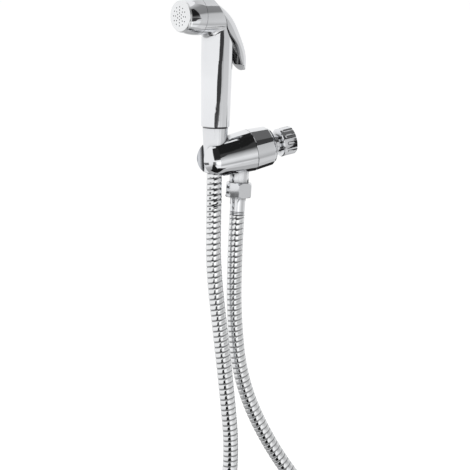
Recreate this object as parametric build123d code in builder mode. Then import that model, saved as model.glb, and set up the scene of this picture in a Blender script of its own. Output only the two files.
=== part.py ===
from build123d import *
import os
from math import cos, hypot, pi, radians, sin, sqrt, tan

os.makedirs("parts", exist_ok=True)

# Handheld bidet shower with its wall holder, in millimetres.
# The origin is the centre of the wall inlet's mouth. +Y points into the wall along the barrel's
# axis, -Y comes out into the room, +Z is up and +X is to the right of someone facing the wall.
# Every height of a turned piece is measured along that piece's own axis.

# Fits and gaps
running_gap = 0.08          # between a shaft and the bore it turns or slides in
seat_gap = 0.10             # between a piece and the recess that it is pushed into
shadow_gap = 0.40           # joint line that stays open between two turning pieces
cradle_gap = 0.30           # between the conical nut and the cradle's bore
push_gap = 0.30             # between the lever's boss and the resting stem

# Half inch pipe thread, drawn as plain walls at these radii
thread_minor_r = 9.32
thread_male_r = 9.22

# Barrel of the holder, along Y
bore_to_wall = 80.0         # cradle axis to the mouth of the union nut
dome_r = 17.3               # barrel at the cradle axis
barrel_r = 19.7             # barrel at the joint with the control ring
barrel_length = 35.4        # cradle axis to that joint
slot_width = 15.2           # front slot that lets the hose in
cradle_lean = 11.0          # degrees, top towards the wall

# Valve chamber behind the barrel
core_r = 13.2               # tube that the control ring turns on
chamber_r = 10.6
chamber_depth = 3.6         # seat of the discs, in front of the barrel's rear face
passage_r = 5.0
seal_thickness = 1.5
disc_thickness = 3.2
carrier_length = 9.4
wave_thickness = 1.2
pin_r = 1.9
turn_angle = 90.0           # travel of the control ring
pin_rest_angle = 195.0      # where the pin stands when the valve is open, degrees from +X
o_ring_r = 0.9              # section radius of the carrier's O-rings
seal_sides = 8              # O-rings are drawn with an eight-sided section

# Control ring
ring_length = 19.6
ring_rear_r = 18.45
ring_bevel = 1.6

# Inlet tailpiece and union nut
flange_r = 16.2
flange_thickness = 2.0
neck_r = 7.9
inlet_bore_r = 5.5
collar_r = 9.1
collar_thickness = 1.8
nut_r = 13.15
nut_length = 13.8
nut_back = 2.3
flute_count = 12
flute_cutter_r = 3.4
flute_depth = 0.6
flute_start = 3.0           # from the nut's neck-side edge to the flute's rounded end
washer_thickness = 2.0

# Outlet, along its own leaning axis, heights counted down from the barrel's axis
outlet_from_bore = 26.9
outlet_lean = 13.4
spigot_r = 8.95
spigot_drop = 27.8          # to the top of the hex nut
hex_across_flats = 23.2
hex_length = 13.9
hex_turn = -23.0            # degrees, direction of one corner from +X
thread_length = 7.6
ferrule_r = 7.05
ferrule_length = 16.4
shank_r = 4.4
insert_bore_r = 3.2
insert_flange = 1.8

# Hose
hose_r = 7.25
hose_bore_r = 4.5

# Handset, along its own axis, heights counted up from the cradle's centre
handset_turn = 14.5         # degrees, spray direction turned towards +X
nut_top = 29.2
cone_length = 42.0
cone_top_r = 11.9
cone_bottom_r = 9.35
cone_bore_r = 7.55
grip_bottom = 29.6
grip_bottom_r = 13.3
grip_r = 14.5
grip_taper_drop = 40.4      # from the spray axis down to where the grip's taper ends
grip_bore_r = 9.0
grip_bore_drop = 21.4
head_height = 131.4         # spray axis above the cradle's centre
elbow_round = 5.0           # fillet between the head and the grip

# Head, along the spray axis, depths counted forward from the grip's axis
head_r = 17.5
seam_depth = 25.3
collar_length = 16.1
face_cap = 3.0              # spray face in front of the collar
face_r = 14.6
face_round = 2.0
face_plate = 1.4
collar_spigot_r = 14.6
front_chamber_r = 12.4
hole_r = 0.6
hole_counts = (6, 8, 12)    # rings round the middle hole
hole_orbits = (3.0, 5.7, 8.5)

# Push valve in the head, on an axis below and parallel to the spray axis
valve_drop = 7.4
valve_chamber_r = 6.5
valve_back = 4.5            # rear wall of the valve chamber
bush_r = 5.0
bush_flange_r = 5.9
stem_r = 1.75
stem_seal_r = 0.8
poppet_r = 4.7
poppet_thickness = 2.0
poppet_seal = 1.8
seat_hole_r = 3.3
seat_depth = 14.5
seat_web = 2.5
stem_back = 9.8             # stem's rear end behind the grip's axis
spring_r = 3.8
spring_wire = 0.45
spring_turns = 6
peg_r = 2.9                 # centres the spring on poppet and seat
spring_seat_depth = 30.0
spring_seat_thickness = 1.6

# Trigger lever, heights from the spray axis
pivot_back = -3.0
pivot_rise = 3.1
lever_pin_r = 1.5
lever_wall = 2.3
lever_travel = 9.0          # degrees
ear_half_width = 4.6        # ear that carries the lever's pin
core_half_width = 6.4       # elbow's core under the lever


def leaning(angle):
    """Unit vector that stands up, leaning towards the wall by an angle in degrees."""
    return Vector(0, sin(radians(angle)), cos(radians(angle)))


# Planes of the barrel, the outlet and the handset. On each side plane the second
# coordinate runs along the axis, so a turned piece is an outline of (radius, height).
barrel_side = Plane(origin=(0, 0, 0), x_dir=(0, 0, 1), z_dir=(-1, 0, 0))

cradle_up = leaning(cradle_lean)
bore_centre = Vector(0, -bore_to_wall, 0)
cradle_top = Plane(origin=bore_centre, x_dir=(1, 0, 0), z_dir=cradle_up)
cradle_side = Plane(origin=bore_centre, x_dir=cradle_top.y_dir, z_dir=(1, 0, 0))

outlet_up = leaning(outlet_lean)
outlet_centre = Vector(0, -bore_to_wall + outlet_from_bore, 0)
outlet_top = Plane(origin=outlet_centre, x_dir=(1, 0, 0), z_dir=outlet_up)
outlet_side = Plane(origin=outlet_centre, x_dir=outlet_top.y_dir, z_dir=(1, 0, 0))

across = (
    cradle_top.x_dir * cos(radians(handset_turn)) + cradle_top.y_dir * sin(radians(handset_turn))
)
handset_top = Plane(origin=bore_centre, x_dir=across, z_dir=cradle_up)
back = handset_top.y_dir
handset_side = Plane(origin=bore_centre, x_dir=back, z_dir=across)
handset_front = Plane(origin=bore_centre, x_dir=across, z_dir=back * -1)

head_centre = bore_centre + cradle_up * head_height
spray = back * -1
spray_side = Plane(origin=head_centre, x_dir=cradle_up, z_dir=cradle_up.cross(spray))
spray_across = Plane(origin=head_centre, x_dir=across * -1, z_dir=spray)
valve_centre = head_centre - cradle_up * valve_drop
valve_side = Plane(origin=valve_centre, x_dir=cradle_up, z_dir=cradle_up.cross(spray))
valve_across = Plane(origin=valve_centre, x_dir=across * -1, z_dir=spray)


def turn(plane, *outline, mode=Mode.ADD):
    """Revolve a closed outline of (radius, height) corners about the plane's upright axis."""
    with BuildSketch(plane) as section:
        with BuildLine():
            Polyline(*outline, close=True)
        make_face()
    revolve(section.sketch, axis=Axis(plane.origin, plane.y_dir), mode=mode)


def turn_tube(plane, inner, outer, low, high, mode=Mode.ADD):
    """Revolve a plain tube, or a solid rod where the inner radius is nought."""
    turn(plane, (inner, low), (outer, low), (outer, high), (inner, high), mode=mode)


head_side = Plane(origin=head_centre, x_dir=back, z_dir=across)
head_rear = Plane(origin=head_centre, x_dir=across, z_dir=spray)
face_depth = seam_depth + collar_length + face_cap

# Stations along the barrel's axis, as Y
barrel_end = -bore_to_wall + barrel_length
ring_front = barrel_end + shadow_gap
ring_rear = ring_front + ring_length
flange_front = ring_rear + shadow_gap
flange_rear = flange_front + flange_thickness
seat_y = barrel_end - chamber_depth
fixed_disc_front = seat_y + seal_thickness
moving_disc_front = fixed_disc_front + disc_thickness
carrier_front = moving_disc_front + disc_thickness
carrier_rear = carrier_front + carrier_length
hub_front = carrier_rear + wave_thickness
pin_y = (carrier_front + carrier_rear) / 2
nut_front = -nut_length
collar_front = nut_front + nut_back + seat_gap
collar_rear = collar_front + collar_thickness
washer_rear = collar_rear + washer_thickness

# Heights along the outlet's axis
spigot_bottom = -spigot_drop - thread_length
outlet_washer_bottom = spigot_bottom - washer_thickness
outlet_flange_bottom = outlet_washer_bottom - insert_flange
hex_bottom = -spigot_drop - hex_length
ferrule_top = hex_bottom - seat_gap
ferrule_bottom = ferrule_top - ferrule_length

# Heights along the handset's axis
thread_bottom = nut_top - thread_length - 2.0
handset_washer_bottom = thread_bottom - washer_thickness
handset_flange_bottom = handset_washer_bottom - insert_flange
cone_bottom = nut_top - cone_length
sleeve_bottom = cone_bottom + 1.0


# Holder body: dome, barrel, core tube and outlet spigot in one casting
barrel_slope = (barrel_r - dome_r) / barrel_length
dome_shift = dome_r * barrel_slope
dome_sphere_r = hypot(dome_r, dome_shift)

with BuildPart() as holder_body:
    with BuildSketch(barrel_side) as barrel_section:
        with BuildLine():
            dome_middle = -bore_to_wall + dome_shift
            pole = (0, dome_middle - dome_sphere_r)
            shoulder = (dome_r, -bore_to_wall)
            middle_angle = radians(45)
            half_way = (
                dome_sphere_r * sin(middle_angle),
                dome_middle - dome_sphere_r * cos(middle_angle),
            )
            ThreePointArc(pole, half_way, shoulder)
            Polyline(
                shoulder,
                (barrel_r, barrel_end),
                (core_r, barrel_end),
                (core_r, flange_front),
                (0, flange_front),
                pole,
            )
        make_face()
    revolve(axis=Axis.Y)
    turn_tube(outlet_side, 0, spigot_r, -spigot_drop, 0)
    turn(
        outlet_side,
        (0, spigot_bottom),
        (thread_male_r - 0.6, spigot_bottom),
        (thread_male_r, spigot_bottom + 0.6),
        (thread_male_r, -spigot_drop - 1.0),
        (spigot_r - 0.4, -spigot_drop - 0.6),
        (spigot_r - 0.4, -spigot_drop + 0.2),
        (0, -spigot_drop + 0.2),
    )
    # chamber for the discs, the passage in front of it, and the drilling down the spigot
    turn_tube(barrel_side, 0, chamber_r, seat_y, flange_front, mode=Mode.SUBTRACT)
    turn_tube(barrel_side, 0, passage_r, outlet_centre.Y - passage_r, seat_y, mode=Mode.SUBTRACT)
    turn_tube(outlet_side, 0, passage_r, spigot_bottom, 0, mode=Mode.SUBTRACT)
    # conical cradle bore, wider than the nut by the cradle gap all the way down
    cone_slope = (cone_top_r - cone_bottom_r) / cone_length
    cut_high = dome_r + 8
    bore_top_r = cone_top_r - (nut_top - cut_high) * cone_slope + cradle_gap
    bore_low_r = cone_top_r - (nut_top + cut_high) * cone_slope + cradle_gap
    turn(
        cradle_side,
        (0, -cut_high),
        (bore_low_r, -cut_high),
        (bore_top_r, cut_high),
        (0, cut_high),
        mode=Mode.SUBTRACT,
    )
    # front slot, as wide as the hose and open from top to bottom
    with BuildSketch(cradle_top.offset(-cut_high)):
        Rectangle(slot_width, 2 * dome_r, align=(Align.CENTER, Align.MAX))
    extrude(amount=2 * cut_high, mode=Mode.SUBTRACT)
    # slot in the core tube that the drive pin travels in
    with BuildSketch(Plane.XZ.offset(-pin_y)) as pin_slot:
        slot_half = 180 / pi * (pin_r + 0.25) / chamber_r
        with BuildLine():
            inner_arc = CenterArc(
                (0, 0), chamber_r - 1, pin_rest_angle - slot_half, turn_angle + 2 * slot_half
            )
            outer_arc = CenterArc(
                (0, 0), core_r + 1, pin_rest_angle - slot_half, turn_angle + 2 * slot_half
            )
            Line(inner_arc @ 0, outer_arc @ 0)
            Line(inner_arc @ 1, outer_arc @ 1)
        make_face()
    extrude(amount=pin_r + 0.25, both=True, mode=Mode.SUBTRACT)

holder_body.part.label = "holder_body"
export_step(holder_body.part, "parts/holder_body.step")


# The drive pin stands across the ring and the carrier
pin_plane = Plane(
    origin=(0, pin_y, 0),
    x_dir=(0, 1, 0),
    z_dir=(cos(radians(pin_rest_angle)), 0, sin(radians(pin_rest_angle))),
)

# Control ring, turned on the core tube, with a bevelled rear edge
with BuildPart() as control_ring:
    turn(
        barrel_side,
        (core_r + running_gap, ring_front),
        (barrel_r - 0.3, ring_front),
        (barrel_r, ring_front + 0.3),
        (ring_rear_r, ring_rear - ring_bevel),
        (ring_rear_r - ring_bevel, ring_rear),
        (core_r + running_gap, ring_rear),
    )
    with BuildSketch(pin_plane):
        Circle(pin_r)
    extrude(amount=barrel_r + 2, mode=Mode.SUBTRACT)

control_ring.part.label = "control_ring"
export_step(control_ring.part, "parts/control_ring.step")


# Drive pin, a headless screw through the ring into the disc carrier
pin_inner = chamber_r - 3.4
pin_outer = barrel_r - 1.2

with BuildPart() as drive_pin:
    with BuildSketch(pin_plane.offset(pin_inner)):
        Circle(pin_r - 0.02)
    extrude(amount=pin_outer - pin_inner)
    with BuildSketch(pin_plane.offset(pin_outer)):
        RegularPolygon(pin_r * 0.55, 6)
    extrude(amount=-1.6, mode=Mode.SUBTRACT)

drive_pin.part.label = "drive_pin"
export_step(drive_pin.part, "parts/drive_pin.step")


# Disc carrier, the rotor in the chamber, with two O-ring grooves and two lugs
groove_bottom = chamber_r - 2 * o_ring_r - 0.15
groove_half = o_ring_r + 0.12
groove_offset = carrier_length / 2 - groove_half - 0.6
lug_length = 1.4
lug_width = 4.0

with BuildPart() as disc_carrier:
    turn_tube(barrel_side, inlet_bore_r, chamber_r - running_gap, carrier_front, carrier_rear)
    for side in (-1, 1):
        groove_y = pin_y + side * groove_offset
        turn_tube(
            barrel_side,
            groove_bottom,
            chamber_r + 1,
            groove_y - groove_half,
            groove_y + groove_half,
            mode=Mode.SUBTRACT,
        )
    with BuildSketch(Plane.XZ.offset(-carrier_front)):
        with PolarLocations(chamber_r - 2.2, 2):
            Rectangle(2.6, lug_width)
    extrude(amount=lug_length)
    with BuildSketch(pin_plane.offset(pin_inner)):
        Circle(pin_r)
    extrude(amount=chamber_r, mode=Mode.SUBTRACT)

disc_carrier.part.label = "disc_carrier"
export_step(disc_carrier.part, "parts/disc_carrier.step")


# The carrier's two O-rings
with BuildPart() as carrier_seals:
    for side in (-1, 1):
        with BuildSketch(barrel_side):
            with Locations((groove_bottom + 0.05 + o_ring_r, pin_y + side * groove_offset)):
                RegularPolygon(o_ring_r, seal_sides)
        revolve(axis=Axis.Y)

carrier_seals.part.label = "carrier_seals"
export_step(carrier_seals.part, "parts/carrier_seals.step")


# Ceramic discs, each with two quarter ports that meet when the valve is open
port_inner_r = 2.6
port_outer_r = 7.4
port_half_angle = 38.0


def cut_ports(y_position, depth):
    """Cut two opposite sector ports through a disc, towards the room."""
    with BuildSketch(Plane.XZ.offset(-y_position)) as ports:
        for start in (90 - port_half_angle, 270 - port_half_angle):
            with BuildLine():
                near = CenterArc((0, 0), port_inner_r, start, 2 * port_half_angle)
                far = CenterArc((0, 0), port_outer_r, start, 2 * port_half_angle)
                Line(near @ 0, far @ 0)
                Line(near @ 1, far @ 1)
            make_face()
    extrude(ports.sketch, amount=depth, mode=Mode.SUBTRACT)


with BuildPart() as fixed_disc:
    turn_tube(
        barrel_side, 0, chamber_r - seat_gap, fixed_disc_front, moving_disc_front
    )
    cut_ports(moving_disc_front, disc_thickness)

fixed_disc.part.label = "fixed_disc"
export_step(fixed_disc.part, "parts/fixed_disc.step")

with BuildPart() as moving_disc:
    turn_tube(
        barrel_side, 0, chamber_r - 2 * running_gap, moving_disc_front, carrier_front
    )
    cut_ports(carrier_front, disc_thickness)
    with BuildSketch(Plane.XZ.offset(-carrier_front)):
        with PolarLocations(chamber_r - 2.0, 2):
            Rectangle(3.4, lug_width + 0.3)
    extrude(amount=lug_length + 0.2, mode=Mode.SUBTRACT)

moving_disc.part.label = "moving_disc"
export_step(moving_disc.part, "parts/moving_disc.step")


# Rubber seal between the fixed disc and the chamber's floor
with BuildPart() as disc_seal:
    turn_tube(barrel_side, passage_r + 0.6, chamber_r - 0.3, seat_y, fixed_disc_front)

disc_seal.part.label = "disc_seal"
export_step(disc_seal.part, "parts/disc_seal.step")


# Spring washer that presses carrier and discs together
with BuildPart() as wave_washer:
    turn_tube(barrel_side, chamber_r - 2.6, chamber_r - 0.3, carrier_rear, hub_front)

wave_washer.part.label = "wave_washer"
export_step(wave_washer.part, "parts/wave_washer.step")


# Inlet tailpiece: hub screwed into the core tube, flange, neck and collar
with BuildPart() as inlet_tailpiece:
    with BuildSketch(barrel_side) as tailpiece_section:
        with BuildLine():
            neck_start = flange_rear + 2.2
            Polyline(
                (inlet_bore_r, hub_front),
                (chamber_r - 0.06, hub_front),
                (chamber_r - 0.06, flange_front),
                (flange_r, flange_front),
                (flange_r, flange_rear - 0.8),
                (flange_r - 0.8, flange_rear),
                (neck_r + 2.2, flange_rear),
            )
            RadiusArc((neck_r + 2.2, flange_rear), (neck_r, neck_start), 2.2)
            Polyline(
                (neck_r, neck_start),
                (neck_r, collar_front),
                (collar_r, collar_front),
                (collar_r, collar_rear),
                (inlet_bore_r, collar_rear),
                (inlet_bore_r, hub_front),
            )
        make_face()
    revolve(axis=Axis.Y)

inlet_tailpiece.part.label = "inlet_tailpiece"
export_step(inlet_tailpiece.part, "parts/inlet_tailpiece.step")


# Union nut with shallow flutes that start behind its front edge
with BuildPart() as wall_union_nut:
    turn(
        barrel_side,
        (neck_r + 0.25, nut_front),
        (nut_r - 0.7, nut_front),
        (nut_r, nut_front + 0.7),
        (nut_r, -0.4),
        (nut_r - 0.4, 0),
        (thread_minor_r, 0),
        (thread_minor_r, washer_rear),
        (thread_minor_r + 0.35, washer_rear),
        (thread_minor_r + 0.35, nut_front + nut_back),
        (neck_r + 0.25, nut_front + nut_back),
    )
    flute_orbit = nut_r + flute_cutter_r - flute_depth
    flute_front = nut_front + flute_start + flute_cutter_r * 0.55
    with BuildSketch(Plane.XZ.offset(-flute_front)):
        with PolarLocations(flute_orbit, flute_count):
            Circle(flute_cutter_r)
    extrude(amount=-nut_length, mode=Mode.SUBTRACT)
    with Locations(Plane.XZ.offset(-flute_front)):
        with PolarLocations(flute_orbit, flute_count):
            Sphere(flute_cutter_r, mode=Mode.SUBTRACT)

wall_union_nut.part.label = "wall_union_nut"
export_step(wall_union_nut.part, "parts/wall_union_nut.step")


# Filter washer in the union nut
with BuildPart() as filter_washer:
    turn_tube(barrel_side, inlet_bore_r, thread_minor_r - 0.08, collar_rear, washer_rear)

filter_washer.part.label = "filter_washer"
export_step(filter_washer.part, "parts/filter_washer.step")


# Outlet washer under the spigot
with BuildPart() as outlet_washer:
    turn_tube(
        outlet_side, passage_r, thread_minor_r - 0.1, outlet_washer_bottom, spigot_bottom
    )

outlet_washer.part.label = "outlet_washer"
export_step(outlet_washer.part, "parts/outlet_washer.step")


# Hose tail with its flange, held by the hex nut
with BuildPart() as outlet_insert:
    turn(
        outlet_side,
        (insert_bore_r, outlet_washer_bottom),
        (thread_minor_r - 0.1, outlet_washer_bottom),
        (thread_minor_r - 0.1, outlet_flange_bottom),
        (shank_r, outlet_flange_bottom),
        (shank_r, ferrule_bottom + 0.6),
        (insert_bore_r, ferrule_bottom + 0.6),
    )

outlet_insert.part.label = "outlet_insert"
export_step(outlet_insert.part, "parts/outlet_insert.step")


# Hex nut, with both rims chamfered to a circle
hex_corner_r = hex_across_flats / sqrt(3)
rim_drop = 2.0

with BuildPart() as outlet_hex_nut:
    with BuildSketch(outlet_top.offset(hex_bottom)):
        RegularPolygon(hex_corner_r, 6, rotation=hex_turn)
    extrude(amount=hex_length)
    with BuildSketch(outlet_side) as rounded_rims:
        with BuildLine():
            rim_r = hex_across_flats / 2 - 0.2
            Polyline(
                (0, hex_bottom),
                (rim_r, hex_bottom),
                (hex_corner_r, hex_bottom + rim_drop),
                (hex_corner_r, -spigot_drop - rim_drop),
                (rim_r, -spigot_drop),
                (0, -spigot_drop),
                close=True,
            )
        make_face()
    revolve(axis=Axis(outlet_centre, outlet_up), mode=Mode.INTERSECT)
    turn_tube(
        outlet_side, 0, thread_minor_r, outlet_flange_bottom, -spigot_drop, mode=Mode.SUBTRACT
    )
    turn_tube(
        outlet_side, 0, shank_r + seat_gap, hex_bottom, -spigot_drop, mode=Mode.SUBTRACT
    )

outlet_hex_nut.part.label = "outlet_hex_nut"
export_step(outlet_hex_nut.part, "parts/outlet_hex_nut.step")


# Ferrules, crimped sleeves with two grooves at the hose end
def sleeve_outline(inner, outer, low, high):
    """Outline of a crimped sleeve, with two small grooves above its lower end."""
    groove_depth = 0.5
    return (
        (inner, low),
        (outer - 0.5, low),
        (outer, low + 0.5),
        (outer, low + 1.1),
        (outer - groove_depth, low + 1.5),
        (outer, low + 1.9),
        (outer, low + 2.6),
        (outer - groove_depth, low + 3.0),
        (outer, low + 3.4),
        (outer + 0.1, high - 0.4),
        (outer - 0.3, high),
        (inner, high),
    )


with BuildPart() as outlet_ferrule:
    turn(outlet_side, *sleeve_outline(shank_r + seat_gap, ferrule_r, ferrule_bottom, ferrule_top))

outlet_ferrule.part.label = "outlet_ferrule"
export_step(outlet_ferrule.part, "parts/outlet_ferrule.step")

with BuildPart() as handset_ferrule:
    turn(
        handset_side,
        *sleeve_outline(
            shank_r + seat_gap, ferrule_r, sleeve_bottom, handset_flange_bottom - seat_gap
        ),
    )

handset_ferrule.part.label = "handset_ferrule"
export_step(handset_ferrule.part, "parts/handset_ferrule.step")


# Hose tail and washer at the handset's end
with BuildPart() as handset_insert:
    turn(
        handset_side,
        (insert_bore_r, handset_washer_bottom),
        (thread_minor_r - 0.1, handset_washer_bottom),
        (thread_minor_r - 0.1, handset_flange_bottom),
        (shank_r, handset_flange_bottom),
        (shank_r, sleeve_bottom + 0.6),
        (insert_bore_r, sleeve_bottom + 0.6),
    )

handset_insert.part.label = "handset_insert"
export_step(handset_insert.part, "parts/handset_insert.step")

with BuildPart() as handset_washer:
    turn_tube(
        handset_side, inlet_bore_r, thread_minor_r - 0.1, handset_washer_bottom, thread_bottom
    )

handset_washer.part.label = "handset_washer"
export_step(handset_washer.part, "parts/handset_washer.step")


# Conical nut that seats in the cradle
with BuildPart() as conical_nut:
    turn(
        handset_side,
        (cone_bore_r, cone_bottom),
        (cone_bottom_r - 0.5, cone_bottom),
        (cone_bottom_r, cone_bottom + 0.5),
        (cone_top_r, nut_top - 0.5),
        (cone_top_r - 0.5, nut_top),
        (thread_minor_r, nut_top),
        (thread_minor_r, handset_flange_bottom),
        (cone_bore_r, handset_flange_bottom - 1.0),
    )

conical_nut.part.label = "conical_nut"
export_step(conical_nut.part, "parts/conical_nut.step")


# Hose: out of the valve's ferrule, down round a hanging loop and up into the conical nut
hose_start = outlet_centre + outlet_up * ferrule_bottom
hose_end = bore_centre + cradle_up * sleeve_bottom
straight_out = 34.0         # first run of the route, still along the fitting's axis
hose_route = [
    hose_start,
    hose_start - outlet_up * straight_out,
    Vector(-4, -84, -150),
    Vector(-5, -87.5, -215),
    Vector(-3, -71, -280),
    Vector(7, -43, -342),
    Vector(21, -19, -405),
    Vector(31, -11, -474),
    Vector(32, -13, -543),
    Vector(12, -56, -591),
    Vector(-15, -117, -591),
    Vector(-35, -160, -543),
    Vector(-34, -158, -476),
    Vector(-22, -144, -410),
    Vector(-8, -126, -346),
    Vector(3, -111, -282),
    Vector(5, -107, -218),
    Vector(4, -103.5, -155),
    Vector(3, -100, -100),
    hose_end - cradle_up * (straight_out + 12),
    hose_end,
]


def corner_radii(points):
    """Largest tangent arc at each corner: 0.45 of the shorter run over the half turn's tangent."""
    radii = []
    for before, corner, after in zip(points, points[1:], points[2:]):
        arriving = corner - before
        leaving = after - corner
        half_turn = radians(arriving.get_angle(leaving)) / 2
        radii.append(0.45 * min(arriving.length, leaving.length) / tan(half_turn))
    return radii


hose_radii = corner_radii(hose_route)
print("hose arcs, radius in mm:", [round(r) for r in hose_radii])

with BuildPart() as hose:
    with BuildLine() as hose_line:
        FilletPolyline(*hose_route, radius=hose_radii)
    with BuildSketch(Plane(origin=hose_line.line @ 0, z_dir=hose_line.line % 0)):
        Circle(hose_r)
        Circle(hose_bore_r, mode=Mode.SUBTRACT)
    sweep()

hose_length = sum(edge.length for edge in hose_line.edges())
hose_section = pi * (hose_r**2 - hose_bore_r**2)
print("hose length", round(hose_length, 1),
      "volume over section times length", round(hose.part.volume / (hose_section * hose_length), 5))
hose.part.label = "hose"
export_step(hose.part, "parts/hose.step")


# Back of the elbow: where the casting stops and the lever's shell takes over,
# as (behind the grip's axis, height from the spray axis) in the side view
elbow_back = (
    (-13.5, 19.1),
    (-12.4, 15.2),
    (-6.2, 0.6),
    (-3.4, -4.4),
    (1.0, -15.4),
    (8.8, -26.4),
    (14.7, -38.4),
)

# The elbow's narrow core reaches further back, inside the lever's shell
core_rear = 5.5             # flat face round the valve's bush
core_front = -9.5           # well inside the casting
core_back = (
    (core_front, -1.4),
    (4.2, -1.4),
    (core_rear, -2.8),
    (core_rear, -14.0),
    (2.0, -16.0),
    (-2.0, -18.4),
    (core_front, -19.4),
)
ear_back = (
    (core_front, 9.0),
    (-3.6, 7.2),
    (1.0, 3.6),
    (core_rear, -2.4),
    (core_front, -2.4),
)
behind_all = 40.0           # clear of the whole handset, behind it

# Handset body: grip, elbow and head in one casting
with BuildPart() as handset_body:
    grip_round = 0.8
    turn(
        handset_side,
        (0, grip_bottom),
        (grip_bottom_r - grip_round, grip_bottom),
        (grip_bottom_r, grip_bottom + grip_round),
        (grip_r, head_height - grip_taper_drop),
        (grip_r, head_height),
        (0, head_height),
    )
    turn_tube(spray_side, 0, head_r, -head_r, seam_depth)
    crossing = handset_body.edges().filter_by(
        lambda edge: edge.geom_type not in (GeomType.LINE, GeomType.CIRCLE)
    )
    fillet(crossing, radius=elbow_round)
    # slope of the back under the lever
    with BuildSketch(head_side) as behind:
        with BuildLine():
            Spline(*elbow_back)
            Polyline(elbow_back[-1], (behind_all, elbow_back[-1][1]),
                     (behind_all, elbow_back[0][1]), elbow_back[0])
        make_face()
    extrude(behind.sketch, amount=behind_all, both=True, mode=Mode.SUBTRACT)
    with BuildSketch(head_side) as core:
        with BuildLine():
            Polyline(*core_back, close=True)
        make_face()
    extrude(core.sketch, amount=core_half_width, both=True)
    with BuildSketch(head_side) as ear:
        with BuildLine():
            Polyline(*ear_back, close=True)
        make_face()
    extrude(ear.sketch, amount=ear_half_width, both=True)
    # threaded inlet spigot below the grip
    turn(
        handset_side,
        (0, thread_bottom),
        (thread_male_r - 0.6, thread_bottom),
        (thread_male_r, thread_bottom + 0.6),
        (thread_male_r, grip_bottom - 1.0),
        (thread_male_r - 0.5, grip_bottom - 0.5),
        (thread_male_r - 0.5, grip_bottom + 0.5),
        (0, grip_bottom + 0.5),
    )
    # front spigot that the spray collar screws on
    turn_tube(spray_side, 0, collar_spigot_r, seam_depth - 0.5, spring_seat_depth + 1.0)
    # waterway: wide bore in the grip, a drilling up to the valve, chambers before and behind it
    grip_bore_top = head_height - grip_bore_drop
    turn(
        handset_side,
        (0, thread_bottom),
        (inlet_bore_r, thread_bottom),
        (inlet_bore_r, grip_bottom + 8),
        (grip_bore_r, grip_bottom + 14),
        (grip_bore_r, grip_bore_top - 8),
        (inlet_bore_r, grip_bore_top),
        (0, grip_bore_top),
        mode=Mode.SUBTRACT,
    )
    feed_r = 3.6
    with BuildSketch(handset_top.offset(grip_bore_top - 6)) as feed:
        with Locations((0, -(valve_back + feed_r + 0.6))):
            Circle(feed_r)
    extrude(feed.sketch, amount=head_height - valve_drop - grip_bore_top + 6, mode=Mode.SUBTRACT)
    turn_tube(
        valve_side, 0, valve_chamber_r, valve_back, seat_depth - seat_web, mode=Mode.SUBTRACT
    )
    turn_tube(valve_side, 0, seat_hole_r, valve_back, seat_depth, mode=Mode.SUBTRACT)
    turn_tube(
        spray_side, 0, front_chamber_r, seat_depth, spring_seat_depth + 2, mode=Mode.SUBTRACT
    )
    turn_tube(valve_side, 0, bush_r, -10, valve_back, mode=Mode.SUBTRACT)
    # cross hole for the lever's pin
    with BuildSketch(head_side) as pin_hole:
        with Locations((pivot_back, pivot_rise)):
            Circle(lever_pin_r)
    extrude(pin_hole.sketch, amount=head_r, both=True, mode=Mode.SUBTRACT)

handset_body.part.label = "handset_body"
export_step(handset_body.part, "parts/handset_body.step")


# Spray collar, the flared front shell of the head
collar_front_depth = seam_depth + collar_length
collar_mouth_r = face_r - 0.1
wall_step = 2.6

with BuildPart() as spray_collar:
    with BuildSketch(spray_side) as collar_section:
        with BuildLine():
            rear = (head_r, seam_depth + 0.3)
            mouth = (collar_mouth_r, collar_front_depth)
            TangentArc(rear, mouth, tangent=(0, 1))
            Polyline(
                mouth,
                (front_chamber_r, collar_front_depth),
                (front_chamber_r, spring_seat_depth + 1.0),
                (collar_spigot_r + seat_gap, spring_seat_depth + 1.0),
                (collar_spigot_r + seat_gap, seam_depth + 0.3),
                rear,
            )
        make_face()
    revolve(collar_section.sketch, axis=Axis(head_centre, spray))

spray_collar.part.label = "spray_collar"
export_step(spray_collar.part, "parts/spray_collar.step")


# Gasket between the collar and the face
gasket_thickness = face_depth - face_plate - collar_front_depth

with BuildPart() as face_gasket:
    turn_tube(
        spray_side,
        front_chamber_r,
        collar_mouth_r - 0.8,
        collar_front_depth,
        collar_front_depth + gasket_thickness,
    )

face_gasket.part.label = "face_gasket"
export_step(face_gasket.part, "parts/face_gasket.step")


# Spray face, a shallow cap with a rounded rim and a middle hole inside three rings of holes
face_back = collar_front_depth + 0.1

with BuildPart() as spray_face:
    with BuildSketch(spray_side) as face_section:
        with BuildLine():
            rim_start = (face_r, face_depth - face_round)
            rim_end = (face_r - face_round, face_depth)
            Line((collar_mouth_r - 0.7, face_back), (face_r, face_back))
            Line((face_r, face_back), rim_start)
            RadiusArc(rim_start, rim_end, -face_round)
            Line(rim_end, (0, face_depth))
            Line((0, face_depth), (0, face_depth - face_plate))
            Line((0, face_depth - face_plate), (collar_mouth_r - 0.7, face_depth - face_plate))
            Line((collar_mouth_r - 0.7, face_depth - face_plate), (collar_mouth_r - 0.7, face_back))
        make_face()
    revolve(face_section.sketch, axis=Axis(head_centre, spray))
    with BuildSketch(spray_across.offset(face_depth + 1)) as holes:
        Circle(hole_r)
        for count, orbit in zip(hole_counts, hole_orbits):
            with PolarLocations(orbit, count, start_angle=90):
                Circle(hole_r)
    extrude(holes.sketch, amount=-4, mode=Mode.SUBTRACT)

spray_face.part.label = "spray_face"
export_step(spray_face.part, "parts/spray_face.step")


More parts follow.
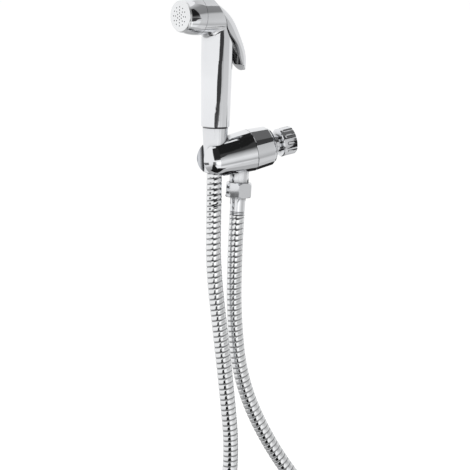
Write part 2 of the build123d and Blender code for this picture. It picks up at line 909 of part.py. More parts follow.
# Spring seat, a spoked disc across the front chamber
with BuildPart() as spring_seat:
    turn_tube(
        spray_side,
        0,
        front_chamber_r - 0.1,
        spring_seat_depth,
        spring_seat_depth + spring_seat_thickness,
    )
    with BuildSketch(spray_across.offset(spring_seat_depth)) as ports:
        with PolarLocations(8.9, 7, start_angle=90 + 180 / 7):
            Circle(2.3)
    extrude(ports.sketch, amount=spring_seat_thickness, mode=Mode.SUBTRACT)
    with BuildSketch(valve_across.offset(spring_seat_depth)) as peg:
        Circle(peg_r)
    extrude(peg.sketch, amount=-2.0)

spring_seat.part.label = "spring_seat"
export_step(spring_seat.part, "parts/spring_seat.step")


# Bush that guides the stem through the back of the elbow
bush_rear = -core_rear - 1.0

with BuildPart() as valve_bush:
    turn(
        valve_side,
        (stem_r + running_gap, bush_rear),
        (bush_flange_r, bush_rear),
        (bush_flange_r, -core_rear),
        (bush_r - seat_gap, -core_rear),
        (bush_r - seat_gap, valve_back),
        (stem_r + running_gap, valve_back),
    )
    bush_groove = (bush_rear + valve_back) / 2
    turn_tube(
        valve_side,
        stem_r,
        stem_r + 2 * stem_seal_r + 0.2,
        bush_groove - stem_seal_r - 0.1,
        bush_groove + stem_seal_r + 0.1,
        mode=Mode.SUBTRACT,
    )

valve_bush.part.label = "valve_bush"
export_step(valve_bush.part, "parts/valve_bush.step")


# O-ring round the stem
with BuildPart() as stem_seal:
    with BuildSketch(valve_side) as seal_section:
        with Locations((stem_r + running_gap + stem_seal_r, bush_groove)):
            RegularPolygon(stem_seal_r, seal_sides)
    revolve(seal_section.sketch, axis=Axis(valve_centre, spray))

stem_seal.part.label = "stem_seal"
export_step(stem_seal.part, "parts/stem_seal.step")


# Valve stem with its poppet in front of the seat
poppet_back = seat_depth + poppet_seal
poppet_front = poppet_back + poppet_thickness

with BuildPart() as valve_stem:
    turn(
        valve_side,
        (0, -stem_back),
        (stem_r - 0.5, -stem_back),
        (stem_r, -stem_back + 0.5),
        (stem_r, poppet_back),
        (poppet_r, poppet_back),
        (poppet_r, poppet_front),
        (peg_r, poppet_front),
        (peg_r, poppet_front + 1.5),
        (0, poppet_front + 1.5),
    )

valve_stem.part.label = "valve_stem"
export_step(valve_stem.part, "parts/valve_stem.step")


# Rubber washer that closes on the seat
with BuildPart() as valve_washer:
    turn_tube(valve_side, stem_r + 0.05, poppet_r - 0.2, seat_depth, poppet_back)

valve_washer.part.label = "valve_washer"
export_step(valve_washer.part, "parts/valve_washer.step")


# Return spring between the poppet and its seat
spring_length = spring_seat_depth - poppet_front - 0.1
spring_pitch = (spring_length - 2 * spring_wire) / spring_turns

with BuildPart() as return_spring:
    spring_base = valve_across.offset(poppet_front + 0.05 + spring_wire)
    with BuildLine() as spring_line:
        Helix(
            pitch=spring_pitch,
            height=spring_pitch * spring_turns,
            radius=spring_r,
            center=spring_base.origin,
            direction=spring_base.z_dir,
        )
    with BuildSketch(Plane(origin=spring_line.line @ 0, z_dir=spring_line.line % 0)):
        RegularPolygon(spring_wire, 6)
    sweep(is_frenet=True)

return_spring.part.label = "return_spring"
export_step(return_spring.part, "parts/return_spring.step")


# Trigger lever: a half-round channel whose crown follows the back of the head and then stands
# off the grip. Each station is the crown's place behind the grip's axis, its height from the
# spray axis, the tilt of its outward direction, the half width, and the height of its arc.
lever_stations = (
    (-13.0, 16.8, 78.0, 8.0, 1.9),
    (-3.0, 11.5, 62.0, 10.9, 8.0),
    (7.9, 4.2, 50.0, 11.9, 11.4),
    (17.0, -5.6, 38.0, 11.4, 11.4),
    (24.1, -17.5, 29.0, 10.0, 10.0),
    (29.9, -29.4, 20.0, 8.9, 8.9),
    (32.7, -40.9, 5.0, 8.0, 8.0),
    (31.3, -52.4, -10.0, 7.4, 7.4),
)
cavity_end = (32.4, -45.8, -2.0, 7.8, 7.8)
flange_reach = 21.0         # depth of the channel's cheeks before they are trimmed
thinnest_crown = 0.9
tip_drop = 43.0             # centre of the tongue's round tip
tip_r = 8.0
boss_r = 2.6
boss_rise = 0.9             # boss above the stem, because its swing carries it down
boss_root = 16.8            # inside the lever's wall

# Trimmed edge of the lever's cheeks in the side view, from the tip up to the seam with the head
lever_edge = (
    (30.9, -54.0),
    (27.2, -48.0),
    (24.6, -43.5),
    (22.3, -39.2),
    (20.4, -34.4),
    (18.2, -28.6),
    (13.1, -22.2),
    (5.0, -14.0),
    (2.6, -10.4),
    (0.9, -3.7),
    (-2.6, 0.1),
)
lever_top = ((-11.6, 16.2), (-11.6, 20.6))
tongue_width = 13.0
tongue_root = -13.4


def channel_section(station, inward):
    """Section across the lever at a station, drawn inside its outer skin by the given distance."""
    behind, height, tilt, half_width, crown = station
    outward = back * cos(radians(tilt)) + cradle_up * sin(radians(tilt))
    crown_point = head_centre + back * behind + cradle_up * height
    inner_half = half_width - inward
    shoulder_y = -inward - max(crown - inward, thinnest_crown)
    with BuildSketch(Plane(origin=crown_point, x_dir=across, z_dir=across.cross(outward))) as ring:
        with BuildLine():
            ThreePointArc((-inner_half, shoulder_y), (0, -inward), (inner_half, shoulder_y))
            Polyline((inner_half, shoulder_y), (inner_half, -flange_reach),
                     (-inner_half, -flange_reach), (-inner_half, shoulder_y))
        make_face()
    return ring.sketch


with BuildPart() as trigger_lever:
    loft([channel_section(station, 0) for station in lever_stations])
    loft(
        [channel_section(station, lever_wall) for station in lever_stations[:-1] + (cavity_end,)],
        mode=Mode.SUBTRACT,
    )
    # boss that presses on the valve's stem
    boss_face = stem_back + push_gap
    with BuildSketch(Plane(origin=valve_centre + back * boss_face, x_dir=across, z_dir=back)):
        with Locations((0, boss_rise)):
            Circle(boss_r)
    extrude(amount=boss_root - boss_face)
    # cheeks trimmed to the side view, tongue trimmed to the rear view
    with BuildSketch(head_side) as cheeks:
        with BuildLine():
            Spline(*lever_edge)
            Polyline(lever_edge[-1], *lever_top, (behind_all, lever_top[-1][1]),
                     (behind_all, lever_edge[0][1]), lever_edge[0])
        make_face()
    extrude(cheeks.sketch, amount=tongue_width, both=True, mode=Mode.INTERSECT)
    with BuildSketch(head_rear) as tongue:
        with BuildLine():
            Polyline((-tip_r, -tip_drop), (-tongue_width, tongue_root),
                     (-tongue_width, lever_top[-1][1]), (tongue_width, lever_top[-1][1]),
                     (tongue_width, tongue_root), (tip_r, -tip_drop))
            ThreePointArc((tip_r, -tip_drop), (0, -tip_drop - tip_r), (-tip_r, -tip_drop))
        make_face()
    extrude(tongue.sketch, amount=behind_all, both=True, mode=Mode.INTERSECT)
    # blind holes for the pin's two ends
    pin_half = 9.2
    with BuildSketch(head_side) as pin_holes:
        with Locations((pivot_back, pivot_rise)):
            Circle(lever_pin_r + running_gap)
    extrude(pin_holes.sketch, amount=pin_half + push_gap, both=True, mode=Mode.SUBTRACT)

trigger_lever.part.label = "trigger_lever"
export_step(trigger_lever.part, "parts/trigger_lever.step")


# Pin of the lever, driven through the elbow's ear
with BuildPart() as lever_pin:
    with BuildSketch(head_side):
        with Locations((pivot_back, pivot_rise)):
            Circle(lever_pin_r)
    extrude(amount=pin_half, both=True)

lever_pin.part.label = "lever_pin"
export_step(lever_pin.part, "parts/lever_pin.step")
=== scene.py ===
# %% [markdown]
# # A hand shower in its wall valve
#
# This lesson dresses the solid model of a handheld bidet shower: a chromed hand shower that rests
# in the slotted cradle of a wall valve, with one ribbed metal hose between the two. The solids
# already have the right shapes and places, so most of the work here is the hose, which the solid
# model shows only as a plain tube, and the finishes, which are nearly all polished metal. Polished
# metal has no colour of its own to speak of. What the eye reads on it is the room, so the studio
# round it matters as much as the material.

# %% Load the solid model
import math
import bpy
from functools import partial
from mathutils import Matrix, Vector


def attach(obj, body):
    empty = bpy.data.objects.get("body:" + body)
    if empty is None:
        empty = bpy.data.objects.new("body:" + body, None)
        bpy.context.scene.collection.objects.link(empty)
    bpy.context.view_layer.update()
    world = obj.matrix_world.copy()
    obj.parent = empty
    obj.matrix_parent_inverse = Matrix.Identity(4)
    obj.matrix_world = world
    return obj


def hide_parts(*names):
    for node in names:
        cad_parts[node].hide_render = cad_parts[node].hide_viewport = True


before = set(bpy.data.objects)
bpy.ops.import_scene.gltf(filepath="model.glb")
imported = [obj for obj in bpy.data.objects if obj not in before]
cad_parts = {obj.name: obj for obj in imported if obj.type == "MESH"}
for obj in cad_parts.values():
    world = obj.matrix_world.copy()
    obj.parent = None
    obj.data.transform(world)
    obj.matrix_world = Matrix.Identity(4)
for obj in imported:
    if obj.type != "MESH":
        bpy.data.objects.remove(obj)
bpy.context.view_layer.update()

# %% [markdown]
# ## Directions on the object
#
# The valve's barrel lies along Y, with the wall at +Y. The cradle holds the hand shower on a line
# that leans towards the wall as it rises, and the valve's outlet leans the same way. The hose
# starts on the outlet's line and ends on the hand shower's, so both lines are written down first.
# All lengths in this lesson are metres.

# %% Leaning lines
def leaning_up(degrees):
    """The upward direction of a line that leans from upright towards the wall."""
    return Vector((0, math.sin(math.radians(degrees)), math.cos(math.radians(degrees))))


cradle_centre = Vector((0, -0.080, 0))
handset_up = leaning_up(11.0)
outlet_centre = Vector((0, -0.0531, 0))
outlet_down = -leaning_up(13.4)
print("the hand shower stands along", [round(v, 3) for v in handset_up])

# %% [markdown]
# ## The camera
#
# The photograph was taken from far away with a long lens, so that near and far pieces keep almost
# the same scale. The camera looks from the right of the valve, a little from above. Its three axes
# were worked out from the way the barrel and the spray face appear, and its distance from the
# scale of the picture.

# %% Long lens from the right
view_right = Vector((0.4303, 0.8900, -0.1507)).normalized()
view_up = Vector((-0.1499, 0.2351, 0.9602)).normalized()
view_back = view_right.cross(view_up)
picture_px = 470
focal_px = 2200
px_per_metre = 1087
sensor_mm = 36
cradle_in_picture = (214.7, 158.7)
aim = (cradle_centre
       + view_right * (picture_px / 2 - cradle_in_picture[0]) / px_per_metre
       - view_up * (picture_px / 2 - cradle_in_picture[1]) / px_per_metre)
camera_place = aim + view_back * (focal_px / px_per_metre)

camera_data = bpy.data.cameras.new("long_lens")
camera_data.sensor_width = sensor_mm
camera_data.lens = sensor_mm * focal_px / picture_px
camera = bpy.data.objects.new("camera", camera_data)
bpy.context.scene.collection.objects.link(camera)
facing = Matrix((view_right, view_up, view_back)).transposed().to_4x4()
camera.matrix_world = Matrix.Translation(camera_place) @ facing
bpy.context.scene.camera = camera
print("camera at", [round(v, 3) for v in camera_place], "lens", round(camera_data.lens), "mm")

# %% [markdown]
# ## The hose's line
#
# The hose leaves the valve's outlet straight down, hangs in one free loop and comes back up into
# the conical nut. A hanging hose has no corners, so its line is a smooth spline, and only its two
# ends run straight for a few centimetres, because the ferrules hold them stiff. The points are the
# ones that the solid tube was laid along. The spline passes between them, close to the tube.

# %% Points of the loop
hose_radius = 0.00725
valve_to_hose = 0.0582
stiff_start = 0.034
cradle_to_hose = 0.0118
stiff_end = 0.046
hose_start = outlet_centre + outlet_down * valve_to_hose
hose_end = cradle_centre - handset_up * cradle_to_hose
hose_points = [
    tuple(hose_start),
    tuple(hose_start + outlet_down * stiff_start),
    (-0.004, -0.084, -0.150),
    (-0.005, -0.0875, -0.215),
    (-0.003, -0.071, -0.280),
    (0.007, -0.043, -0.342),
    (0.021, -0.019, -0.405),
    (0.031, -0.011, -0.474),
    (0.032, -0.013, -0.543),
    (0.012, -0.056, -0.591),
    (-0.015, -0.117, -0.591),
    (-0.035, -0.160, -0.543),
    (-0.034, -0.158, -0.476),
    (-0.022, -0.144, -0.410),
    (-0.008, -0.126, -0.346),
    (0.003, -0.111, -0.282),
    (0.005, -0.107, -0.218),
    (0.004, -0.1035, -0.155),
    (0.003, -0.100, -0.100),
    tuple(hose_end - handset_up * stiff_end),
    tuple(hose_end),
]
print("hose runs from", [round(v, 3) for v in hose_start], "to", [round(v, 3) for v in hose_end])


# %% Spline through the loop
def smooth_line(name, points):
    """A curve of one smooth spline with these points as its control points."""
    curve = bpy.data.curves.new(name, "CURVE")
    curve.dimensions = "3D"
    curve.resolution_u = 24
    spline = curve.splines.new("NURBS")
    spline.points.add(len(points) - 1)
    for control, point in zip(spline.points, points):
        control.co = (*point, 1.0)
    spline.order_u = 3
    spline.use_endpoint_u = True
    return curve


line_object = bpy.data.objects.new("hose_line", smooth_line("hose_line", hose_points))
bpy.context.scene.collection.objects.link(line_object)
bpy.context.view_layer.update()
graph = bpy.context.evaluated_depsgraph_get()
line_mesh = bpy.data.meshes.new_from_object(line_object.evaluated_get(graph))
bpy.data.objects.remove(line_object)

# %% [markdown]
# ## Helpers for node trees
#
# Geometry Nodes and materials are both trees of nodes. A few small helpers keep the lesson short:
# they add a node and fill its sockets, or add one node that does sums with numbers or vectors.

# %% Adding, filling and joining nodes
def fill(tree, node, **inputs):
    """Link or fill a node's input sockets, by name, or by number after an underscore."""
    for key, value in inputs.items():
        named = key.replace("_", " ") if key[0] != "_" else int(key[1:])
        if isinstance(value, bpy.types.NodeSocket):
            tree.links.new(value, node.inputs[named])
        else:
            node.inputs[named].default_value = value


def add_node(tree, kind, settings=None, **inputs):
    """Add a node, set its properties and fill its sockets."""
    node = tree.nodes.new(kind)
    for key, value in (settings or {}).items():
        setattr(node, key, value)
    fill(tree, node, **inputs)
    return node


def calculate(tree, operation, *values):
    """One Math node. Values are numbers or sockets."""
    numbered = {f"_{number}": value for number, value in enumerate(values)}
    return add_node(tree, "ShaderNodeMath", {"operation": operation}, **numbered).outputs[0]


def combine(tree, operation, first, second):
    """One Vector Math node on two vectors, or on a vector and the number that scales it."""
    inputs = {"_0": first, "Scale" if operation == "SCALE" else "_1": second}
    return add_node(tree, "ShaderNodeVectorMath", {"operation": operation}, **inputs).outputs[0]


print("helpers for nodes ready")

# %% [markdown]
# A geometry tree is started with named inputs, so that its sizes can be changed later in the
# modifier's panel. It is then run once on a mesh, and the result is kept as a plain mesh, which
# the export can handle.

# %% Starting and running a geometry tree
def start_tree(name, inputs):
    """A geometry tree with a geometry input and output, and the named inputs given."""
    tree = bpy.data.node_groups.new(name, "GeometryNodeTree")
    tree.interface.new_socket("Geometry", in_out="INPUT", socket_type="NodeSocketGeometry")
    for label, kind in inputs:
        tree.interface.new_socket(label, in_out="INPUT", socket_type=kind)
    tree.interface.new_socket("Geometry", in_out="OUTPUT", socket_type="NodeSocketGeometry")
    return tree, tree.nodes.new("NodeGroupInput").outputs


def run_tree(name, mesh, tree, values):
    """Apply a tree to a mesh with the given input values, and return a plain mesh object."""
    carrier = bpy.data.objects.new(name + "_carrier", mesh)
    bpy.context.scene.collection.objects.link(carrier)
    modifier = carrier.modifiers.new("nodes", "NODES")
    modifier.node_group = tree
    for item in tree.interface.items_tree:
        if item.item_type == "SOCKET" and item.in_out == "INPUT" and item.name in values:
            modifier[item.identifier] = values[item.name]
    bpy.context.view_layer.update()
    evaluated = carrier.evaluated_get(bpy.context.evaluated_depsgraph_get())
    result = bpy.data.meshes.new_from_object(evaluated)
    bpy.data.objects.remove(carrier)
    result.name = name
    piece = bpy.data.objects.new(name, result)
    bpy.context.scene.collection.objects.link(piece)
    return piece


print("helpers for geometry trees ready")

# %% [markdown]
# ## The hose's ribbed band
#
# The real hose is wound from one narrow metal strip, folded so that each turn hooks into the last.
# From outside it shows as rounded ribs with a narrow dark groove between them, and the ribs slant
# a little, because they are one long screw. A texture could fake that, but the grooves also break
# the outline and every reflection, so they are modelled. A flat grid is wrapped round the line:
# its rows run round the hose and creep forward by one rib a turn, so the wrapped grid closes on
# itself as a screw does.

# %% Inputs and rows of the ribbed hose
hose_tree, given = start_tree("ribbed_hose", [
    ("Radius", "NodeSocketFloat"),
    ("Rib pitch", "NodeSocketFloat"),
    ("Groove depth", "NodeSocketFloat"),
    ("Rib squareness", "NodeSocketFloat"),
    ("Rows in a rib", "NodeSocketInt"),
    ("Points around", "NodeSocketInt"),
    ("Material", "NodeSocketMaterial"),
])
hose_node = partial(add_node, hose_tree)
sums = partial(calculate, hose_tree)
vectors = partial(combine, hose_tree)
line = hose_node("GeometryNodeMeshToCurve", Mesh=given["Geometry"])
line = hose_node("GeometryNodeSetCurveNormal", {"mode": "MINIMUM_TWIST"},
                 Curve=line.outputs["Curve"]).outputs["Curve"]
length = hose_node("GeometryNodeCurveLength", Curve=line).outputs["Length"]
ribs = sums("CEIL", sums("DIVIDE", length, given["Rib pitch"]))
spare_ribs = 2.0
last_row = sums("MULTIPLY", sums("ADD", ribs, spare_ribs), given["Rows in a rib"])
grid = hose_node("GeometryNodeMeshGrid", Size_X=last_row, Size_Y=given["Points around"],
                 Vertices_X=sums("ADD", last_row, 1.0),
                 Vertices_Y=sums("ADD", given["Points around"], 1.0))
print("hose tree takes", [output.name for output in given if output.name])

# %% [markdown]
# Every point of the grid reads its own row and its place round the hose from where it lies. The
# grid is centred, so half its size is added first. The row gives the distance along the line, and
# the place round the hose adds its share of one rib. Beyond the two ends of the line every row is
# held at the end.

# %% Place of each point along and round the hose
spot = hose_node("ShaderNodeSeparateXYZ", _0=hose_node("GeometryNodeInputPosition").outputs[0])
row = sums("ROUND", sums("ADD", spot.outputs[0], sums("MULTIPLY", last_row, 0.5)))
column = sums("ROUND", sums("ADD", spot.outputs[1], sums("MULTIPLY", given["Points around"], 0.5)))
turn = sums("DIVIDE", column, given["Points around"])
rib_number = sums("DIVIDE", row, given["Rows in a rib"])
along = sums("MULTIPLY", given["Rib pitch"], sums("ADD", turn, sums("SUBTRACT", rib_number, 1.0)))
held = sums("MINIMUM", sums("MAXIMUM", along, 0.0), length)
print("rows creep by one rib a turn")

# %% [markdown]
# The rib's outline is a flattened arch. Its height falls as a high power of the distance from the
# rib's middle, so a larger power gives a squarer rib with a narrower groove. The rows that are
# held at the ends lie as deep as a groove, and the outermost rows shrink to a point, which closes
# the hose inside its fittings.

# %% Rib outline and closed ends
same_place = 0.000001
phase = sums("FRACT", rib_number)
from_middle = sums("ABSOLUTE", sums("SUBTRACT", sums("MULTIPLY", phase, 2.0), 1.0))
groove = sums("POWER", from_middle, given["Rib squareness"])
inside = sums("COMPARE", along, held, same_place)
closed = sums("MAXIMUM", sums("LESS_THAN", row, 0.5),
              sums("GREATER_THAN", row, sums("SUBTRACT", last_row, 0.5)))
dip = sums("MAXIMUM", groove, sums("SUBTRACT", 1.0, inside))
ring_radius = sums("SUBTRACT", given["Radius"], sums("MULTIPLY", dip, given["Groove depth"]))
ring_radius = sums("MULTIPLY", ring_radius, sums("SUBTRACT", 1.0, closed))
print("rib outline made")

# %% [markdown]
# Each point now goes to its place on a circle round the line. The circle stands on the line's
# normal and on the direction across it. The dip is noted on every point for the material, and the
# points where the grid meets itself are merged.

# %% Wrapping the grid round the line
merge_distance = 0.00002
sample = hose_node("GeometryNodeSampleCurve", {"mode": "LENGTH"}, Curves=line, Length=held).outputs
crosswise = vectors("CROSS_PRODUCT", sample["Tangent"], sample["Normal"])
angle = sums("MULTIPLY", turn, 2 * math.pi)
on_normal = sums("MULTIPLY", ring_radius, sums("COSINE", angle))
on_crosswise = sums("MULTIPLY", ring_radius, sums("SINE", angle))
outward = vectors("ADD", vectors("SCALE", sample["Normal"], on_normal),
                  vectors("SCALE", crosswise, on_crosswise))
wrapped = vectors("ADD", sample["Position"], outward)
noted = hose_node("GeometryNodeStoreNamedAttribute", {"data_type": "FLOAT", "domain": "POINT"},
                  Geometry=grid.outputs["Mesh"], Name="groove", Value=dip)
moved = hose_node("GeometryNodeSetPosition", Geometry=noted.outputs["Geometry"], Position=wrapped)
merged = hose_node("GeometryNodeMergeByDistance", Geometry=moved.outputs["Geometry"],
                   Distance=merge_distance)
smooth = hose_node("GeometryNodeSetShadeSmooth", Geometry=merged.outputs["Geometry"])
real = hose_node("GeometryNodeRealizeInstances", Geometry=smooth.outputs[0])
painted = hose_node("GeometryNodeSetMaterial", Geometry=real.outputs["Geometry"],
                    Material=given["Material"])
hose_node("NodeGroupOutput", Geometry=painted.outputs["Geometry"])
print("hose tree has", len(hose_tree.nodes), "nodes")

# %% [markdown]
# ## Helpers for finishes
#
# Every finish below starts from the same few parts: the piece's own coordinates, noise on them, a
# ramp that turns noise into colour, a range that turns it into roughness, and a bump.

# %% Parts of a finish
def start_material(name, metallic=0.0):
    """A material, its tree, its shader and the coordinates of the piece that wears it."""
    material = bpy.data.materials.new(name)
    material.use_nodes = True
    tree = material.node_tree
    shader = tree.nodes["Principled BSDF"]
    fill(tree, shader, Metallic=metallic)
    return material, tree, shader, add_node(tree, "ShaderNodeTexCoord").outputs["Object"]


def noise(tree, where, scale, detail, roughness=0.5):
    """Noise of a given fineness: a larger scale makes smaller blots."""
    return add_node(tree, "ShaderNodeTexNoise", Vector=where, Scale=scale, Detail=detail,
                    Roughness=roughness).outputs["Fac"]


def ramp(tree, value, stops):
    """Colours at given values, each stop being a value and a colour."""
    node = add_node(tree, "ShaderNodeValToRGB", Fac=value)
    for _ in stops[2:]:
        node.color_ramp.elements.new(0.5)
    for element, (position, colour) in zip(node.color_ramp.elements, stops):
        element.position = position
        element.color = (*colour, 1)
    return node.outputs["Color"]


def stretched(tree, value, found, wanted):
    """A value moved from the range where it is found to the range that is wanted."""
    return add_node(tree, "ShaderNodeMapRange", Value=value, From_Min=found[0], From_Max=found[1],
                    To_Min=wanted[0], To_Max=wanted[1]).outputs["Result"]


def bump(tree, height, depth, strength, **over):
    """Relief of a given depth, over another relief where one is given as Normal."""
    return add_node(tree, "ShaderNodeBump", Strength=strength, Distance=depth, Height=height,
                    **over).outputs["Normal"]


print("helpers for finishes ready")

# %% [markdown]
# ## Polished chrome
#
# Chrome plate is a mirror with a faint blue-grey tint. Two things keep it from looking like a
# computer's mirror: the plated casting under it is never quite flat, so reflections swim a little,
# and polishing leaves fine marks and a film that make the shine uneven. Both come from noise, slow
# in the bump and finer in the roughness, and turned pieces get thin rings across their axis too.
#
# A third thing is painted shade on the edges. In narrow gaps and blind recesses, where shade falls,
# the plate's colour is darkened, so they look darker than clean mirrors would. The Ambient
# Occlusion node tells how shut in a place is, as far as the painted shade's reach, and the
# plate's colour is darkened by it.

# %% Chrome on any piece
def polished_metal(name, colour, roughness, waviness, painted_shade_reach=0.004, turning_axis=None):
    """A plated metal: noise sways its reflections and varies its shine, and painted shade darkens
    its nooks.
    """
    material, tree, shader, where = start_material(name, metallic=1.0)
    # smears of the polishing film
    film = noise(tree, where, scale=90.0, detail=5.0, roughness=0.6)
    shine = stretched(tree, film, found=(0.3, 0.75), wanted=(roughness * 0.75, roughness * 1.5))
    # tint that changes a little over the plate, and painted shade that darkens it in the nooks
    tint = noise(tree, where, scale=24.0, detail=2.0)
    plate = ramp(tree, tint, [(0.35, [c * 0.95 for c in colour]), (0.65, colour)])
    openness = add_node(tree, "ShaderNodeAmbientOcclusion", {"samples": 6}, Distance=painted_shade_reach)
    painted_shade = stretched(tree, openness.outputs["AO"], found=(0.35, 0.95), wanted=(0.12, 1.0))
    # slow waves of the surface under the plate
    waves = noise(tree, where, scale=55.0, detail=2.0)
    relief = bump(tree, waves, waviness, strength=1.0)
    if turning_axis is not None:
        # fine turning marks: many thin rings across the chosen axis
        fineness = [6.0, 6.0, 6.0]
        fineness[turning_axis] = 4200.0
        rings = add_node(tree, "ShaderNodeMapping", Vector=where, Scale=fineness)
        marks = noise(tree, rings.outputs[0], scale=1.0, detail=2.0)
        relief = bump(tree, marks, depth=0.00001, strength=0.35, Normal=relief)
    # the plate's colour is multiplied by the painted shade of the nooks
    fill(tree, shader, Roughness=shine, Base_Color=combine(tree, "SCALE", plate, painted_shade),
         Normal=relief)
    return material


print("chrome has film, tint, dark nooks and waves")

# %% [markdown]
# The pieces differ a little. The handset is brighter and smoother than the valve, the nuts are
# greyer, and the spray face is pale and silky. The gap behind the lever is wide, so the painted
# shade on the lever's finish reaches farther than on the others.

# %% Chrome of each kind of piece
y_axis = 1
chrome_cast = polished_metal("chrome_on_casting", (0.80, 0.81, 0.83), 0.055, 0.00016)
chrome_turned = polished_metal("chrome_on_turned_ring", (0.80, 0.81, 0.83), 0.07, 0.00006,
                               turning_axis=y_axis)
chrome_shell = polished_metal("chrome_on_handset", (0.84, 0.85, 0.87), 0.05, 0.00012, painted_shade_reach=0.005)
chrome_lever = polished_metal("chrome_on_lever", (0.80, 0.81, 0.83), 0.06, 0.00012, painted_shade_reach=0.020)
chrome_face = polished_metal("chrome_on_spray_face", (0.86, 0.87, 0.88), 0.14, 0.00004, painted_shade_reach=0.006)
chrome_nut = polished_metal("chrome_on_nuts", (0.78, 0.79, 0.81), 0.08, 0.00008)
print("chrome finishes:", [m.name for m in bpy.data.materials if m.name.startswith("chrome_on")])

# %% [markdown]
# ## The hose's metal
#
# The band is the same bright plate, but each groove holds shadow, dried water and dust. The hose
# mesh carries a value named groove, which is nought on a rib's crown and one at the bottom of a
# groove, and the material reads it to darken and dull the metal there, as painted shade and dirt.

# %% Band material
def band_metal():
    """Bright strip metal, darker and duller towards the bottom of each groove."""
    material = polished_metal("bright_hose_band", (0.84, 0.85, 0.86), 0.09, 0.00003, painted_shade_reach=0.001)
    tree = material.node_tree
    shader = tree.nodes["Principled BSDF"]
    plate = shader.inputs["Base Color"].links[0].from_socket
    shine = shader.inputs["Roughness"].links[0].from_socket
    groove_value = add_node(tree, "ShaderNodeAttribute", {"attribute_name": "groove"})
    depth = calculate(tree, "POWER", groove_value.outputs["Fac"], 1.3)
    # painted shade and dirt: the colour goes towards near black at the bottom of each groove
    shade = add_node(tree, "ShaderNodeMix", {"data_type": "RGBA"}, Factor=depth, A=plate,
                     B=(0.06, 0.06, 0.065, 1))
    duller = calculate(tree, "ADD", shine, calculate(tree, "MULTIPLY", depth, 0.3))
    fill(tree, shader, Base_Color=shade.outputs["Result"], Roughness=duller)
    return material


print("band material ready")

# %% [markdown]
# Now the tree runs with the real hose's sizes, and the ribbed hose takes the place of the plain
# tube. It is attached to the holder, the fitting that it leaves from.

# %% The finished hose
hose = run_tree("ribbed_hose", line_mesh, hose_tree, {
    "Radius": hose_radius,
    "Rib pitch": 0.0051,
    "Groove depth": 0.0009,
    "Rib squareness": 6.0,
    "Rows in a rib": 8,
    "Points around": 28,
    "Material": band_metal(),
})
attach(hose, "holder")
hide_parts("hose")
print("hose faces:", len(hose.data.polygons))

# %% [markdown]
# ## Plain finishes of the hidden pieces
#
# Rubber, brass, steel, ceramic and moulded plastic show only in the gaps and when the model is
# taken apart, but each still gets the grain of the real stuff: rubber is dull and finely pitted,
# brass has a fine grain, and ground ceramic is pale and silky.

# %% Dull and coloured materials
def plain_material(name, colour, roughness, grain, depth, metallic=0.0, change=0.15):
    """A finish with mottled colour, uneven roughness and a fine grain in the bump."""
    material, tree, shader, where = start_material(name, metallic)
    mottle = noise(tree, where, scale=grain * 0.2, detail=4.0)
    tint = ramp(tree, mottle, [(0.3, [c * (1 - change) for c in colour]), (0.7, colour)])
    uneven = stretched(tree, mottle, found=(0.3, 0.7), wanted=(roughness * 0.85, roughness * 1.15))
    pits = bump(tree, noise(tree, where, scale=grain, detail=3.0), depth, strength=0.6)
    fill(tree, shader, Base_Color=tint, Roughness=uneven, Normal=pits)
    return material


rubber = plain_material("black_washer_rubber", (0.035, 0.035, 0.036), 0.62, 1500, 0.00004)
turned_brass = plain_material("turned_brass", (0.72, 0.55, 0.27), 0.24, 900, 0.00002, metallic=1.0)
plain_steel = plain_material("drawn_steel", (0.58, 0.59, 0.60), 0.28, 1100, 0.00002, metallic=1.0)
ground_ceramic = plain_material("ground_ceramic", (0.86, 0.85, 0.81), 0.30, 1600, 0.00001,
                                change=0.05)
black_moulding = plain_material("black_moulding", (0.035, 0.035, 0.035), 0.40, 700, 0.00002)
print("plain finishes: 5")

# %% [markdown]
# ## A finish for every solid
#
# A finish goes into the material slots of the solids that wear it. The hose solid is left out,
# because the ribbed hose stands in its place.

# %% Finish for every solid
finishes = {
    chrome_cast: ("holder_body",),
    chrome_turned: ("control_ring", "inlet_tailpiece"),
    chrome_shell: ("handset_body", "spray_collar"),
    chrome_lever: ("trigger_lever",),
    chrome_face: ("spray_face",),
    chrome_nut: ("wall_union_nut", "outlet_hex_nut", "outlet_ferrule", "handset_ferrule",
                 "conical_nut"),
    rubber: ("filter_washer", "carrier_seals", "disc_seal", "outlet_washer", "handset_washer",
             "face_gasket", "stem_seal", "valve_washer"),
    turned_brass: ("disc_carrier", "outlet_insert", "handset_insert", "valve_bush"),
    plain_steel: ("drive_pin", "wave_washer", "lever_pin", "valve_stem", "return_spring"),
    ground_ceramic: ("fixed_disc", "moving_disc"),
    black_moulding: ("spring_seat",),
}
for finish, names in finishes.items():
    for node_name in names:
        for material_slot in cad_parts[node_name].material_slots:
            material_slot.material = finish
dressed = sum(len(names) for names in finishes.values())
print("finished solids:", dressed, "of", len(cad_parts), "(the hose solid is replaced)")

# %% [markdown]
# ## The studio
#
# A polished piece photographed on white is lit by large pale surfaces and drawn by dark ones. The
# world gives the white background, and gives it to mirror reflections as well. Dull surfaces get a
# weaker light from it, so that they don't wash out.

# %% White room
plain_light = 0.6
white = (1, 1, 1, 1)
world = bpy.data.worlds.new("white_room")
bpy.context.scene.world = world
world.use_nodes = True
room = world.node_tree
room.nodes.clear()
ray = add_node(room, "ShaderNodeLightPath").outputs
seen = calculate(room, "MAXIMUM", ray["Is Camera Ray"], ray["Is Transmission Ray"])
seen = calculate(room, "MAXIMUM", seen, ray["Is Glossy Ray"])
power = calculate(room, "ADD", calculate(room, "MULTIPLY", seen, 1 - plain_light), plain_light)
sky = add_node(room, "ShaderNodeBackground", Color=white, Strength=power)
add_node(room, "ShaderNodeOutputWorld", Surface=sky.outputs[0])
bpy.context.scene.view_settings.view_transform = "Standard"
print("white room set")
